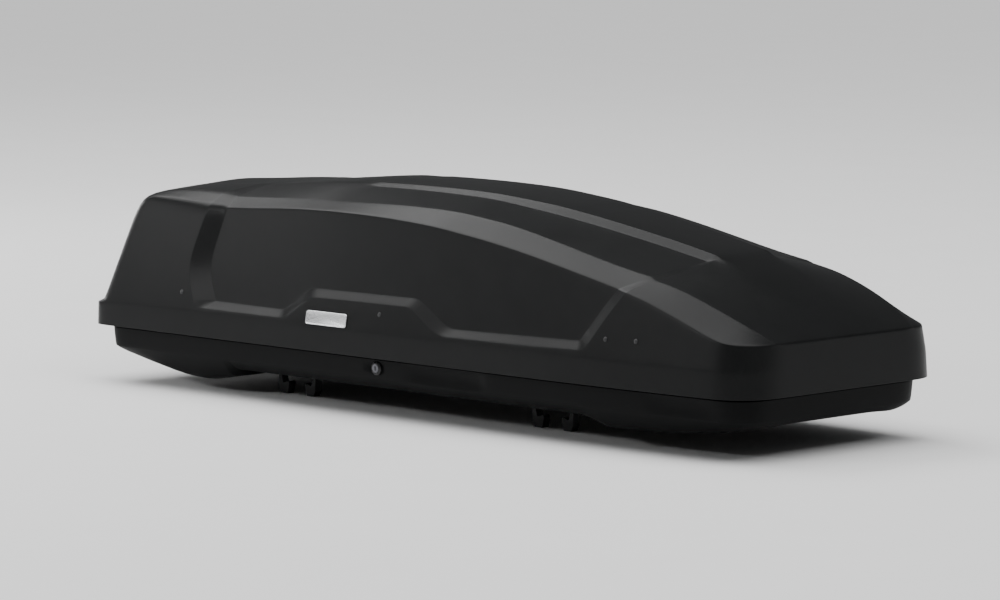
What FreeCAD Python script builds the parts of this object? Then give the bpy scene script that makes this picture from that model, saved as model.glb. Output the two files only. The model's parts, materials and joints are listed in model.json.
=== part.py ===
import FreeCAD, Part
import math
import os

# Roof cargo box that opens on either side, for two crossbars.
# +X points to the nose, +Y to the left, +Z up. The origin is at the centre of
# the plan, level with the feet of the clamp jaws. All sizes are in millimetres.

V = FreeCAD.Vector
os.makedirs("parts", exist_ok=True)

# ---------------------------------------------------------------- plan
LENGTH = 1900.0
WIDTH = 630.0
NOSE_RADIUS = 90.0
TAIL_RADIUS = 65.0
TAPER_START = 450.0
NOSE_TAPER = 22.0
TAPER_POWER = 1.4

# ---------------------------------------------------------------- shells
RIM = 125.0                 # lower edge of the lid
SKIN = 3.0
SKIRT = 52.0                # upright band above the lid's edge
SKIRT_LEAN = 2.0
BASE_INSET = 28.0           # the base stands this far inside the lid's edge
BASE_TOP = RIM - 6.0
OVERRUN = 20.0              # how far a cutting solid runs past an open face

# Heights above the lid's edge, as (x, height).
CROWN = [(-805, 301), (-615, 317), (-374, 332), (-280, 337), (-130, 339), (20, 337), (90, 334),
         (240, 324), (380, 307), (520, 284), (600, 269), (680, 250), (800, 190), (900, 135),
         (950, 104)]
SHOULDER_TOP = [(-805, 297), (-606, 300), (-451, 301), (-248, 302), (-20, 306), (129, 300),
                (274, 283), (416, 256), (555, 227), (623, 216), (705, 206), (764, 188),
                (833, 163), (912, 130), (950, 104)]
SHOULDER_FOOT = [(-805, 271), (-549, 272), (-396, 282), (-195, 286), (32, 277), (252, 252),
                 (394, 229), (534, 202), (596, 188), (643, 181), (729, 155), (807, 128),
                 (877, 105), (950, 100)]
TAIL = [(-950, 50), (-928, 54), (-922, 68), (-892, 154), (-867, 222), (-850, 268), (-835, 300),
        (-800, 400)]
CROWN_STEP = [(-330, 0), (-250, 8), (100, 11), (250, 15), (600, 15), (700, 0)]
CROWN_EDGE_DROP = 5.0
CROWN_EDGE_Y = 112.0        # distances from the centre line, at full width
CROWN_FOOT_Y = 128.0
SHOULDER_WIDE = 50.0        # of the bevel between the side panel and the roof
PANEL_LEAN = 0.2            # how far the side panel leans in, for each mm it rises
LID_STATIONS = [-950, -945, -930, -922, -905, -885, -850, -835, -805, -615, -374, -250, -130, 20,
                100, 250, 380, 520, 600, 680, 705, 764, 833, 860, 885, 915, 938, 950]

# Depths of the base's underside below the lid's edge, as (x, depth).
UNDERSIDE = [(-922, -58), (-810, -80), (-703, -98), (-623, -101), (-548, -87), (-530, -72),
             (470, -72), (500, -75), (547, -90), (704, -87), (827, -75), (922, -60)]
BASE_STATIONS = [-922, -918, -905, -885, -810, -703, -623, -548, -530, 470, 500, 547, 704,
                 827, 860, 890, 910, 922]
BASE_WALL_DROP = 50.0
BASE_WALL_LEAN = 3.0
BILGE_TOP = 5.0
BILGE_OUTER = 24.0
BILGE_INNER = 46.0
FLOOR = RIM - 72.0 + SKIN
WALL_FOOT = RIM - 33.0      # the upright part of the base's wall starts here

# ---------------------------------------------------------------- hinge lines and catches
HINGE_Y = 287.0
HINGE_Z = RIM + 12.0
CATCH_X = (-650.0, -20.0, 592.0)
PEG_R = 3.0
PEG_START = -14.0
PEG_END = 12.0
CRADLE_GAP = 0.3
EAR = 4.0
EAR_HALF = 7.0

# ---------------------------------------------------------------- lifters
LIFTER_A_X = (-830.0, 655.0)     # pivots on the base's left side and the lid's right side
LIFTER_B_X = (-770.0, 715.0)     # pivots on the base's right side and the lid's left side
ARM_WIDE = 12.0
ARM_HIGH = 14.0
ARM_SKIN = 1.6
EYE_R = 8.0
PIVOT_R = 4.0
RUNNING = 0.08

# ---------------------------------------------------------------- locks
LOCK_X = -68.0
LOCK_Z = RIM - 24.0
BARREL_R = 9.0
TOOTH_MODULE = 1.5
PINION_TEETH = 14
PITCH_R = TOOTH_MODULE * PINION_TEETH / 2
TOOTH_TIP = 1.4
TOOTH_ROOT = 1.7
RAIL_Y = (264.0, 270.0)
RAIL_TOP = 121.0
FINGER_WIDE = 12.0
FINGER_START = PEG_END + 2.0

# ---------------------------------------------------------------- crossbar clamps
CLAMP_X = {"front": 310.0, "rear": -450.0}
CLAMP_Y = 150.0
SLOT_HALF = 78.0
SLOT_WIDE = 28.0
CHANNEL_X = (-528.0, 468.0)
CHANNEL_HALF = 34.0
CHANNEL_SKIN = 3.0
CHANNEL_HIGH = 15.0
CHANNEL_LIP = 8.0
CHANNEL_SCREWS = (-350.0, -70.0, 210.0, 445.0)
CARRIAGE_HALF = 62.0
JAW_X = 52.0
JAW_Z = 64.0
JAW_WIDE = 18.0
JAW_PIN_R = 2.5
KNOB_R = 33.0
KNOB_FOOT = 85.5
KNOB_TOP = 112.0
PAD = 3.0


# ---------------------------------------------------------------- helpers
def block(x0, x1, y0, y1, z0, z1):
    return Part.makeBox(x1 - x0, y1 - y0, z1 - z0, V(x0, y0, z0))


def rod_x(x0, x1, y, z, r):
    return Part.makeCylinder(r, x1 - x0, V(x0, y, z), V(1, 0, 0))


def rod_y(y0, y1, x, z, r):
    return Part.makeCylinder(r, y1 - y0, V(x, y0, z), V(0, 1, 0))


def rod_z(z0, z1, x, y, r):
    return Part.makeCylinder(r, z1 - z0, V(x, y, z0), V(0, 0, 1))


def joined(shapes):
    return shapes[0].multiFuse(shapes[1:]).removeSplitter()


def mirrored(shape):
    return shape.mirror(V(0, 0, 0), V(0, 1, 0))


def write(name, *solids):
    """One file per node; several solids stay separate in a compound."""
    shape = solids[0] if len(solids) == 1 else Part.makeCompound(list(solids))
    shape.exportStep("parts/" + name + ".step")


def write_pair(name, *solids):
    """The left-hand piece and its mirror image on the right."""
    write(name + "_left", *solids)
    write(name + "_right", *[mirrored(s) for s in solids])


def between(points, x):
    if x <= points[0][0]:
        return points[0][1]
    for (x0, v0), (x1, v1) in zip(points, points[1:]):
        if x <= x1:
            return v0 + (v1 - v0) * (x - x0) / (x1 - x0)
    return points[-1][1]


def half_width(x, inset):
    """Half the plan's width at x, for an outline moved in by inset."""
    along = max(0.0, x - TAPER_START) / (LENGTH / 2 - TAPER_START)
    side = WIDTH / 2 - NOSE_TAPER * along ** TAPER_POWER - inset
    corner = NOSE_RADIUS if x > 0 else TAIL_RADIUS
    into = max(0.0, abs(x) - (LENGTH / 2 - corner))
    radius = corner - inset
    return side - radius + math.sqrt(max(0.0, radius ** 2 - into ** 2))


def loft(sections):
    """Ruled solid through closed sections given as (x, [(y, z), ...]) for the left half."""
    wires = []
    for x, half in sections:
        left = [V(x, y, z) for y, z in half]
        right = [V(x, -y, z) for y, z in reversed(half) if y > 0]
        wires.append(Part.makePolygon(left + right + [left[0]]))
    return Part.makeLoft(wires, True, True)


# ---------------------------------------------------------------- lid shell
def lid_height(points, x, inset):
    return min(between(points, x - inset), between(points, x + inset)) - inset


def lid_section(x, inset, bottom):
    wide = half_width(x, inset)
    scale = wide / (WIDTH / 2)
    roof = lid_height(TAIL, x, inset)
    crown = min(lid_height(CROWN, x, inset), roof)
    edge = min(lid_height(CROWN, x, inset) - CROWN_EDGE_DROP, roof)
    foot = min(edge - between(CROWN_STEP, x), roof)
    shoulder = min(lid_height(SHOULDER_TOP, x, inset), roof)
    panel = min(lid_height(SHOULDER_FOOT, x, inset), roof)
    skirt = min(SKIRT, panel - 4.0)
    foot_y = wide - SKIRT_LEAN - PANEL_LEAN * (panel - skirt)
    half = [(wide, bottom),
            (wide - SKIRT_LEAN, RIM + skirt),
            (foot_y, RIM + panel),
            (foot_y - SHOULDER_WIDE * scale, RIM + shoulder),
            (CROWN_FOOT_Y * scale, RIM + foot),
            (CROWN_EDGE_Y * scale, RIM + edge),
            (0.0, RIM + crown)]
    return half


def lid_solid(inset, bottom):
    reach = LENGTH / 2 - inset
    sections = []
    for x in LID_STATIONS:
        at = max(-reach, min(reach, x))
        if sections and at - sections[-1][0] < 0.5:
            continue
        sections.append((at, lid_section(at, inset, bottom)))
    return loft(sections)


def side_of_lid(x, height):
    """Left side panel: its distance from the centre line and its lean, in degrees."""
    _, low, high = lid_section(x, 0.0, RIM)[:3]
    lean = (low[0] - high[0]) / (high[1] - low[1])
    return low[0] - (RIM + height - low[1]) * lean, math.degrees(math.atan(lean))


def against_side(shape, x, height):
    """Stand a piece built on the XZ plane at y = 0 against the lid's left side panel."""
    y, lean = side_of_lid(x, height)
    placed = shape.copy()
    placed.rotate(V(0, 0, 0), V(1, 0, 0), lean)
    placed.translate(V(x, y, RIM + height))
    return placed


RIVETS = ((-651.0, 90.0), (-40.0, 90.0), (592.0, 92.0), (670.0, 94.0))
RIVET_R = 2.4
RIVET_HEAD_R = 5.5


def rivet():
    head = Part.makeSphere(9.0, V(0, -7.0, 0)).common(rod_y(0.4, 3.0, 0, 0, RIVET_HEAD_R))
    return joined([head, rod_y(-9.0, 0.6, 0, 0, RIVET_R), rod_y(-9.0, -6.5, 0, 0, 4.0)])


def lid_shell():
    shell = lid_solid(0.0, RIM).cut(lid_solid(SKIN, RIM - OVERRUN))
    for x, height in RIVETS:
        hole = against_side(rod_y(-12.0, 5.0, 0, 0, RIVET_R), x, height)
        shell = shell.cut(hole).cut(mirrored(hole))
    return shell


# ---------------------------------------------------------------- base shell
def base_section(x, inset, top):
    wide = half_width(x, BASE_INSET + inset)
    depth = max(between(UNDERSIDE, x - inset), between(UNDERSIDE, x + inset))
    bottom = RIM + depth + inset
    return [(wide, top),
            (wide - BASE_WALL_LEAN, RIM - BASE_WALL_DROP + inset),
            (wide - BILGE_OUTER + inset / 2, bottom + BILGE_TOP),
            (wide - BILGE_INNER + inset / 2, bottom)]


def base_solid(inset, top):
    reach = LENGTH / 2 - BASE_INSET - inset
    sections = []
    for x in BASE_STATIONS:
        at = max(-reach, min(reach, x))
        if sections and at - sections[-1][0] < 0.5:
            continue
        sections.append((at, base_section(at, inset, top)))
    return loft(sections)


def clamp_slot(x, y):
    half = SLOT_WIDE / 2
    return block(x - SLOT_HALF, x + SLOT_HALF, y - half, y + half, 0.0, FLOOR + CHANNEL_HIGH)


def base_shell():
    shell = base_solid(0.0, BASE_TOP).cut(base_solid(SKIN, BASE_TOP + OVERRUN))
    for x in CLAMP_X.values():
        shell = shell.cut(clamp_slot(x, CLAMP_Y)).cut(clamp_slot(x, -CLAMP_Y))
    return shell.cut(rod_y(-WIDTH / 2, WIDTH / 2, LOCK_X, LOCK_Z, BARREL_R + 1.5))


def inside_base(x):
    """Distance from the centre line that stays clear of the base's side wall."""
    return half_width(x, BASE_INSET + SKIN) - BASE_WALL_LEAN - 1.0


# ---------------------------------------------------------------- catches, left side
def catch_bracket(x):
    wall = half_width(x + 30.0, SKIN) - SKIRT_LEAN - 0.6
    ear = joined([rod_x(x + PEG_START, x + PEG_START + EAR, HINGE_Y, HINGE_Z, EAR_HALF),
                  block(x + PEG_START, x + PEG_START + EAR, HINGE_Y, wall,
                        HINGE_Z - EAR_HALF, HINGE_Z + EAR_HALF)])
    plate = block(x - 30.0, x + 30.0, wall - EAR, wall, RIM + 3.0, RIM + 46.0)
    bracket = joined([ear, plate])
    return bracket.cut(rod_x(x - 20.0, x, HINGE_Y, HINGE_Z, PEG_R))


def catch_peg(x):
    return rod_x(x + PEG_START, x + PEG_END, HINGE_Y, HINGE_Z, PEG_R)


def catch_seat(x):
    x0 = x - 8.0
    x1 = x + PEG_END
    inner = half_width(x, BASE_INSET + SKIN) - BASE_WALL_LEAN - 3.5
    seat = joined([block(x0, x1, inner, inner + 3.0, WALL_FOOT, HINGE_Z + 2.0),
                   block(x0, x1, inner, HINGE_Y + 5.0, HINGE_Z - 11.0, HINGE_Z + 2.0)])
    groove = PEG_R + CRADLE_GAP
    seat = seat.cut(rod_x(x0, x1, HINGE_Y, HINGE_Z, groove))
    return seat.cut(block(x0, x1, HINGE_Y - groove, HINGE_Y + groove, HINGE_Z, HINGE_Z + 9.0))


# ---------------------------------------------------------------- locks, left side
def tooth(half_tip, half_root, reach_in, reach_out, radius):
    """Straight-sided tooth on the XZ plane, pointing up, pitch line at z = radius."""
    points = [V(-half_root, 0, radius - reach_in), V(half_root, 0, radius - reach_in),
              V(half_tip, 0, radius + reach_out), V(-half_tip, 0, radius + reach_out)]
    return Part.Face(Part.makePolygon(points + [points[0]]))


def lock_barrel():
    """Key barrel with its pinion; the key slot faces outwards."""
    y0, y1 = RAIL_Y
    teeth = []
    for i in range(PINION_TEETH):
        face = tooth(0.5, 1.4, TOOTH_ROOT + 0.5, TOOTH_TIP, PITCH_R)
        face.rotate(V(0, 0, 0), V(0, 1, 0), 360.0 * i / PINION_TEETH)
        face.translate(V(LOCK_X, y0 + 0.5, LOCK_Z))
        teeth.append(face.extrude(V(0, y1 - y0 - 1.0, 0)))
    core = rod_y(y0 + 0.5, y1 - 0.5, LOCK_X, LOCK_Z, PITCH_R - TOOTH_ROOT)
    barrel = joined([core, rod_y(y0 - 2.0, HINGE_Y + 4.5, LOCK_X, LOCK_Z, BARREL_R - 0.5)] + teeth)
    drum = rod_y(y1 + 1.5, HINGE_Y + 4.5, LOCK_X, LOCK_Z, BARREL_R)
    slot = block(LOCK_X - 1.2, LOCK_X + 1.2, HINGE_Y - 10.0, HINGE_Y + 5.0,
                 LOCK_Z - 4.5, LOCK_Z + 4.5)
    return joined([barrel, drum]).cut(slot)


def lock_rail():
    """Rack and three fingers on one bar; the fingers stand beside the pegs when unlocked."""
    y0, y1 = RAIL_Y
    bar_foot = LOCK_Z + PITCH_R + TOOTH_ROOT
    pieces = [block(CATCH_X[0] + 10.0, CATCH_X[-1] + 30.0, y0, y1, bar_foot, RAIL_TOP)]
    for x in CATCH_X:
        x0 = x + FINGER_START
        x1 = x0 + FINGER_WIDE
        top = HINGE_Z + PEG_R + 1.2
        pieces.append(block(x0, x1, y0, y1, RAIL_TOP - 2.0, top + 4.0))
        pieces.append(block(x0, x1, y0, HINGE_Y + 6.0, top, top + 4.0))
    pitch = math.pi * TOOTH_MODULE
    for i in range(-2, 9):
        face = tooth(0.55, 1.3, TOOTH_ROOT + 0.5, TOOTH_TIP, 0.0)
        face.rotate(V(0, 0, 0), V(0, 1, 0), 180.0)
        face.translate(V(LOCK_X + (i - 0.5) * pitch, y0, LOCK_Z + PITCH_R))
        pieces.append(face.extrude(V(0, y1 - y0, 0)))
    return joined(pieces)


def lock_housing():
    wall = inside_base(LOCK_X)
    body = block(LOCK_X - 30.0, LOCK_X + 26.0, RAIL_Y[1] + 2.0, wall, WALL_FOOT, BASE_TOP - 1.0)
    return body.cut(rod_y(RAIL_Y[1], wall + 5.0, LOCK_X, LOCK_Z, BARREL_R + 0.06))


def lock_bezel():
    y0 = half_width(LOCK_X, BASE_INSET) + 0.3
    ring = joined([rod_y(y0, y0 + 2.0, LOCK_X, LOCK_Z, 14.5),
                   rod_y(y0, y0 + 4.0, LOCK_X, LOCK_Z, 12.0)])
    return ring.cut(rod_y(y0, y0 + 5.0, LOCK_X, LOCK_Z, BARREL_R + 0.06))


def rail_guide(x):
    y0, y1 = RAIL_Y
    body = block(x - 7.0, x + 7.0, y0 - 3.0, inside_base(x), 106.0, RAIL_TOP + 3.0)
    slot = block(x - 8.0, x + 8.0, y0 - 0.5, y1 + 0.5,
                 LOCK_Z + PITCH_R + TOOTH_ROOT - 0.5, RAIL_TOP + 0.5)
    return body.cut(slot)


# ---------------------------------------------------------------- lifters
def lifter_arm(x):
    """Pressed channel across the box, an eye at each end; the pivots are on the hinge lines."""
    half = ARM_WIDE / 2
    z0 = HINGE_Z - ARM_HIGH / 2
    z1 = HINGE_Z + ARM_HIGH / 2
    body = block(x - half, x + half, -HINGE_Y, HINGE_Y, z0, z1)
    hollow = block(x - half + ARM_SKIN, x + half - ARM_SKIN,
                   -HINGE_Y + 18.0, HINGE_Y - 18.0, z0, z1 - ARM_SKIN)
    arm = body.cut(hollow)
    eyes = [rod_x(x - half, x + half, y, HINGE_Z, EYE_R) for y in (-HINGE_Y, HINGE_Y)]
    arm = joined([arm] + eyes)
    for y in (-HINGE_Y, HINGE_Y):
        arm = arm.cut(rod_x(x - half, x + half, y, HINGE_Z, PIVOT_R + RUNNING))
    return arm


def lifter_ear_x(x):
    return x + ARM_WIDE / 2 + 2.0


def base_lifter_bracket(x):
    """Left-hand bracket, screwed inside the base's wall."""
    x0 = lifter_ear_x(x)
    wall = inside_base(x + 30.0)
    ear = joined([block(x0, x0 + EAR, wall - 14.0, wall, WALL_FOOT, HINGE_Z + EYE_R),
                  block(x0, x0 + EAR, wall - 14.0, HINGE_Y, HINGE_Z - EYE_R, HINGE_Z + EYE_R),
                  rod_x(x0, x0 + EAR, HINGE_Y, HINGE_Z, EYE_R)])
    foot = block(x0 - 30.0, x0 + EAR + 16.0, wall - 3.0, wall, WALL_FOOT, BASE_TOP - 2.0)
    return joined([ear, foot]).cut(rod_x(x0, x0 + EAR, HINGE_Y, HINGE_Z, PIVOT_R))


def lid_lifter_bracket(x):
    """Left-hand bracket, riveted inside the lid's skirt."""
    x0 = lifter_ear_x(x)
    wall = half_width(x + 24.0, SKIN) - SKIRT_LEAN - 0.6
    ear = joined([rod_x(x0, x0 + EAR, HINGE_Y, HINGE_Z, EYE_R - 1.0),
                  block(x0, x0 + EAR, HINGE_Y, wall, HINGE_Z - EAR_HALF, HINGE_Z + EAR_HALF)])
    plate = block(x0 - 24.0, x0 + EAR + 12.0, wall - 3.0, wall, RIM + 3.0, RIM + 42.0)
    return joined([ear, plate]).cut(rod_x(x0, x0 + EAR, HINGE_Y, HINGE_Z, PIVOT_R))


def lifter_pin(x, with_spring):
    start = x - ARM_WIDE / 2 - (22.0 if with_spring else 4.0)
    end = lifter_ear_x(x) + EAR
    flange = rod_x(start - 2.0, start, HINGE_Y, HINGE_Z, PIVOT_R + 2.0)
    return joined([rod_x(start, end, HINGE_Y, HINGE_Z, PIVOT_R), flange])


def lifter_spring(x):
    """Torsion coil around the pin, as its outer shape."""
    x1 = x - ARM_WIDE / 2 - 1.5
    tube = rod_x(x1 - 19.0, x1, HINGE_Y, HINGE_Z, 8.2)
    return tube.cut(rod_x(x1 - 19.0, x1, HINGE_Y, HINGE_Z, PIVOT_R + 1.0))


# ---------------------------------------------------------------- floor and clamps
def floor_channel():
    x0, x1 = CHANNEL_X
    y0 = CLAMP_Y - CHANNEL_HALF
    y1 = CLAMP_Y + CHANNEL_HALF
    skin = CHANNEL_SKIN
    top = FLOOR + CHANNEL_HIGH
    outer = block(x0, x1, y0, y1, FLOOR, top)
    groove = block(x0, x1, y0 + skin, y1 - skin, FLOOR + skin, top - skin)
    mouth = block(x0, x1, y0 + skin + CHANNEL_LIP, y1 - skin - CHANNEL_LIP, FLOOR + skin, top)
    channel = outer.cut(groove).cut(mouth)
    for x in CLAMP_X.values():
        channel = channel.cut(clamp_slot(x, CLAMP_Y))
    for x in CHANNEL_SCREWS:
        channel = channel.cut(rod_z(FLOOR, FLOOR + skin, x, CLAMP_Y, 3.0))
    return channel


def channel_screws():
    z = FLOOR + CHANNEL_SKIN
    return [joined([rod_z(FLOOR + 0.2, z + 0.1, x, CLAMP_Y, 3.0), rod_z(z, z + 3.0, x, CLAMP_Y, 6.0)])
            for x in CHANNEL_SCREWS]


def crossbar_pads():
    """Rubber strips under the base, each side of every clamp's slot."""
    low = FLOOR - SKIN - PAD
    pads = []
    for x in CLAMP_X.values():
        for y in (CLAMP_Y, -CLAMP_Y):
            for offset in (-26.0, 26.0):
                pads.append(block(x - 50.0, x + 50.0, y + offset - 9.0, y + offset + 9.0,
                                  low, low + PAD))
    return pads


def carriage(x):
    low = FLOOR + CHANNEL_SKIN + 0.6
    plate_top = FLOOR + CHANNEL_HIGH - CHANNEL_SKIN - 1.0
    y = CLAMP_Y
    plate = block(x - CARRIAGE_HALF, x + CARRIAGE_HALF, y - 29.0, y + 29.0, low, plate_top)
    tower = block(x - 34.0, x + 34.0, y - 19.0, y + 19.0, low, KNOB_FOOT - 1.0)
    body = joined([plate, tower, rod_z(low, KNOB_FOOT + 9.0, x, y, 8.0)])
    half = JAW_WIDE / 2 + 1.0
    for sign in (-1.0, 1.0):
        at = x + sign * JAW_X
        body = body.cut(block(at - 9.0, at + 9.0, y - half, y + half, low, plate_top))
        body = body.cut(rod_y(y - 20.0, y + 20.0, at, JAW_Z, JAW_PIN_R))
    return body


def jaw_pins(x):
    return [rod_y(CLAMP_Y - 16.0, CLAMP_Y + 16.0, x + sign * JAW_X, JAW_Z, JAW_PIN_R)
            for sign in (-1.0, 1.0)]


def jaw():
    """Jaw of the nose side of a clamp, about its own pivot at the origin."""
    half = JAW_WIDE / 2
    foot = -JAW_Z
    outline = [V(-4, -half, 0), V(-4, -half, -30), V(-8, -half, -42), V(-24, -half, -38),
               V(-27, -half, -42), V(-22, -half, foot), V(-2, -half, foot),
               V(5, -half, -52), V(5, -half, 0)]
    plate = Part.Face(Part.makePolygon(outline + [outline[0]])).extrude(V(0, JAW_WIDE, 0))
    eye = rod_y(-half, half, 0, 0, 5.0)
    return joined([plate, eye]).cut(rod_y(-half, half, 0, 0, JAW_PIN_R + RUNNING))


def jaw_at(x, nose_side):
    shape = jaw()
    if not nose_side:
        shape = shape.mirror(V(0, 0, 0), V(1, 0, 0))
    shape.translate(V(x + (JAW_X if nose_side else -JAW_X), CLAMP_Y, JAW_Z))
    return shape


def knob(x):
    """Turning knob with a grip bar, over the carriage's post."""
    disc = rod_z(KNOB_FOOT, KNOB_FOOT + 11.0, x, CLAMP_Y, KNOB_R)
    grip = block(x - KNOB_R + 3.0, x + KNOB_R - 3.0, CLAMP_Y - 8.0, CLAMP_Y + 8.0,
                 KNOB_FOOT, KNOB_TOP)
    hub = rod_z(KNOB_FOOT, KNOB_TOP, x, CLAMP_Y, 14.0)
    body = joined([disc, grip, hub])
    return body.cut(rod_z(KNOB_FOOT, KNOB_FOOT + 9.5, x, CLAMP_Y, 8.0 + RUNNING))


# ---------------------------------------------------------------- lid trim
STIFFENER_X = (-685.0, 430.0)
STIFFENER_Y = (275.0, 282.5)        # it clears the recessed side panels
STIFFENER_Z = (RIM + 74.0, RIM + 98.0)
STIFFENER_SKIN = 1.6
TAB_HALF = 9.0
TAB_SKIN = 2.5                      # between the lid's skin and the rivet's tail
TAB_WEB = 5.0


def stiffener_tab(x, height):
    """Tab under a rivet's tail, with the web that carries the channel."""
    outer = -SKIN - 0.4
    tab = block(-TAB_HALF, TAB_HALF, outer - TAB_SKIN, outer, -TAB_HALF, TAB_HALF)
    web = block(TAB_HALF - TAB_WEB, TAB_HALF, outer - 22.0, outer, -TAB_HALF + 2.0, TAB_HALF - 2.0)
    shape = joined([tab, web]).cut(rod_y(-12.0, 0.0, 0, 0, RIVET_R + 0.1))
    return against_side(shape, x, height)


def stiffener():
    """Channel, open to the inside, held by the two rivets along its length."""
    (x0, x1), (y0, y1), (z0, z1) = STIFFENER_X, STIFFENER_Y, STIFFENER_Z
    skin = STIFFENER_SKIN
    channel = block(x0, x1, y0, y1, z0, z1).cut(block(x0, x1, y0, y1 - skin, z0 + skin, z1 - skin))
    tabs = [stiffener_tab(x, height) for x, height in RIVETS if x0 < x < x1]
    inside = block(x0, x1, y0 - OVERRUN, y1 - skin, z0 + skin, z1 - skin)
    return joined([channel] + [tab.cut(inside) for tab in tabs])


BADGE_X = -194.0
BADGE_HEIGHT = 69.0
BADGE_LONG = 122.0
BADGE_HIGH = 28.0


def badge():
    plate = block(-BADGE_LONG / 2, BADGE_LONG / 2, 0.3, 2.3, -BADGE_HIGH / 2, BADGE_HIGH / 2)
    upright = [e for e in plate.Edges if abs(e.Vertexes[0].Y - e.Vertexes[1].Y) > 1.0]
    return plate.makeFillet(6.0, upright)


# ---------------------------------------------------------------- the model
write("lid_shell", lid_shell())
write("base_shell", base_shell())

rivets = [against_side(rivet(), x, height) for x, height in RIVETS]
write_pair("lid_rivets", *rivets)
write_pair("lid_stiffener", stiffener())
write_pair("badge", against_side(badge(), BADGE_X, BADGE_HEIGHT))
write_pair("catch_brackets", *[catch_bracket(x) for x in CATCH_X])
write_pair("catch_pegs", *[catch_peg(x) for x in CATCH_X])
write_pair("catch_seats", *[catch_seat(x) for x in CATCH_X])

write_pair("lock_barrel", lock_barrel())
write_pair("lock_rail", lock_rail())
write_pair("lock_housing", lock_housing())
write_pair("lock_bezel", lock_bezel())
write_pair("rail_guides", *[rail_guide(x) for x in (-420.0, 260.0)])

for end, x in zip(("rear", "front"), LIFTER_A_X):
    write("lifter_arm_a_" + end, lifter_arm(x))
for end, x in zip(("rear", "front"), LIFTER_B_X):
    write("lifter_arm_b_" + end, lifter_arm(x))
write("lifter_brackets_base_left", *[base_lifter_bracket(x) for x in LIFTER_A_X])
write("lifter_brackets_base_right", *[mirrored(base_lifter_bracket(x)) for x in LIFTER_B_X])
write("lifter_brackets_lid_left", *[lid_lifter_bracket(x) for x in LIFTER_B_X])
write("lifter_brackets_lid_right", *[mirrored(lid_lifter_bracket(x)) for x in LIFTER_A_X])
write("lifter_pins_base", *([lifter_pin(x, True) for x in LIFTER_A_X]
                            + [mirrored(lifter_pin(x, True)) for x in LIFTER_B_X]))
write("lifter_pins_lid", *([lifter_pin(x, False) for x in LIFTER_B_X]
                           + [mirrored(lifter_pin(x, False)) for x in LIFTER_A_X]))
write("lifter_springs", *([lifter_spring(x) for x in LIFTER_A_X]
                         + [mirrored(lifter_spring(x)) for x in LIFTER_B_X]))

write_pair("floor_channel", floor_channel())
write("channel_screws", *(channel_screws() + [mirrored(s) for s in channel_screws()]))
write("crossbar_pads", *crossbar_pads())
for end, x in CLAMP_X.items():
    write_pair("clamp_carriage_" + end, carriage(x))
    write_pair("clamp_knob_" + end, knob(x))
    write_pair("clamp_jaw_fore_" + end, jaw_at(x, True))
    write_pair("clamp_jaw_aft_" + end, jaw_at(x, False))
    write_pair("clamp_pins_" + end, *jaw_pins(x))
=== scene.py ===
"""Roof cargo box: the visual model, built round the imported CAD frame.

Metres, +X to the nose, +Y to the left, +Z up. The lid and the base are left halves, mirrored.
"""
import json
import math

import bmesh
import bpy
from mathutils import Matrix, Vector


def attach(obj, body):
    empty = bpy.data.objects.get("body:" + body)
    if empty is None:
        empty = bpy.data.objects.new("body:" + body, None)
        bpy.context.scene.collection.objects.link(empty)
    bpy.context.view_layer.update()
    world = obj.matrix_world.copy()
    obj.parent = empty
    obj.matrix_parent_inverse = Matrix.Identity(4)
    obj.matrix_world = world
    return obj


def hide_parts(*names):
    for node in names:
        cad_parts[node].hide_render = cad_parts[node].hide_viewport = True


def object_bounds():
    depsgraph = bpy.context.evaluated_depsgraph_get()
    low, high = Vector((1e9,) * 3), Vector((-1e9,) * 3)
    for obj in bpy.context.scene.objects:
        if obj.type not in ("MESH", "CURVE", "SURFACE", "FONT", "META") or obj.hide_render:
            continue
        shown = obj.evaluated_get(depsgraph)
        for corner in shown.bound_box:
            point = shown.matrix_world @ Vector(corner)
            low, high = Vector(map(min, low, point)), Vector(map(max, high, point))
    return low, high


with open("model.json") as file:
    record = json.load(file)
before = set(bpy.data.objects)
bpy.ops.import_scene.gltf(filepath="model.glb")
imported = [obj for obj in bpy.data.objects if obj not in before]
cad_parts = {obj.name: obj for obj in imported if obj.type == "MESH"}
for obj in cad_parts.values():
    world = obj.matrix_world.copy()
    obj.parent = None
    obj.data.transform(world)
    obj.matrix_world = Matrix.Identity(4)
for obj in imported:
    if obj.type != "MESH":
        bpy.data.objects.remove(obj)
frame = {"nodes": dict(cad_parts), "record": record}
cad_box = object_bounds()
nodes = frame["nodes"]
record = frame["record"]

# ---------------------------------------------------------------- sizes taken over from the CAD
RIM = 0.125                      # height of the lid's lower edge; all profile heights are above it
SKIN = 0.003
HALF_LENGTH = 0.950
HALF_WIDTH = 0.315
TAPER_START = 0.450
NOSE_TAPER = 0.022
TAPER_POWER = 1.4
SKIRT = 0.052
SKIRT_LEAN = 0.002
PANEL_LEAN = 0.2
SHOULDER_WIDE = 0.050
CROWN_EDGE_DROP = 0.002
CROWN_BEVEL = 0.016              # width of the crown's bevel

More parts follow.
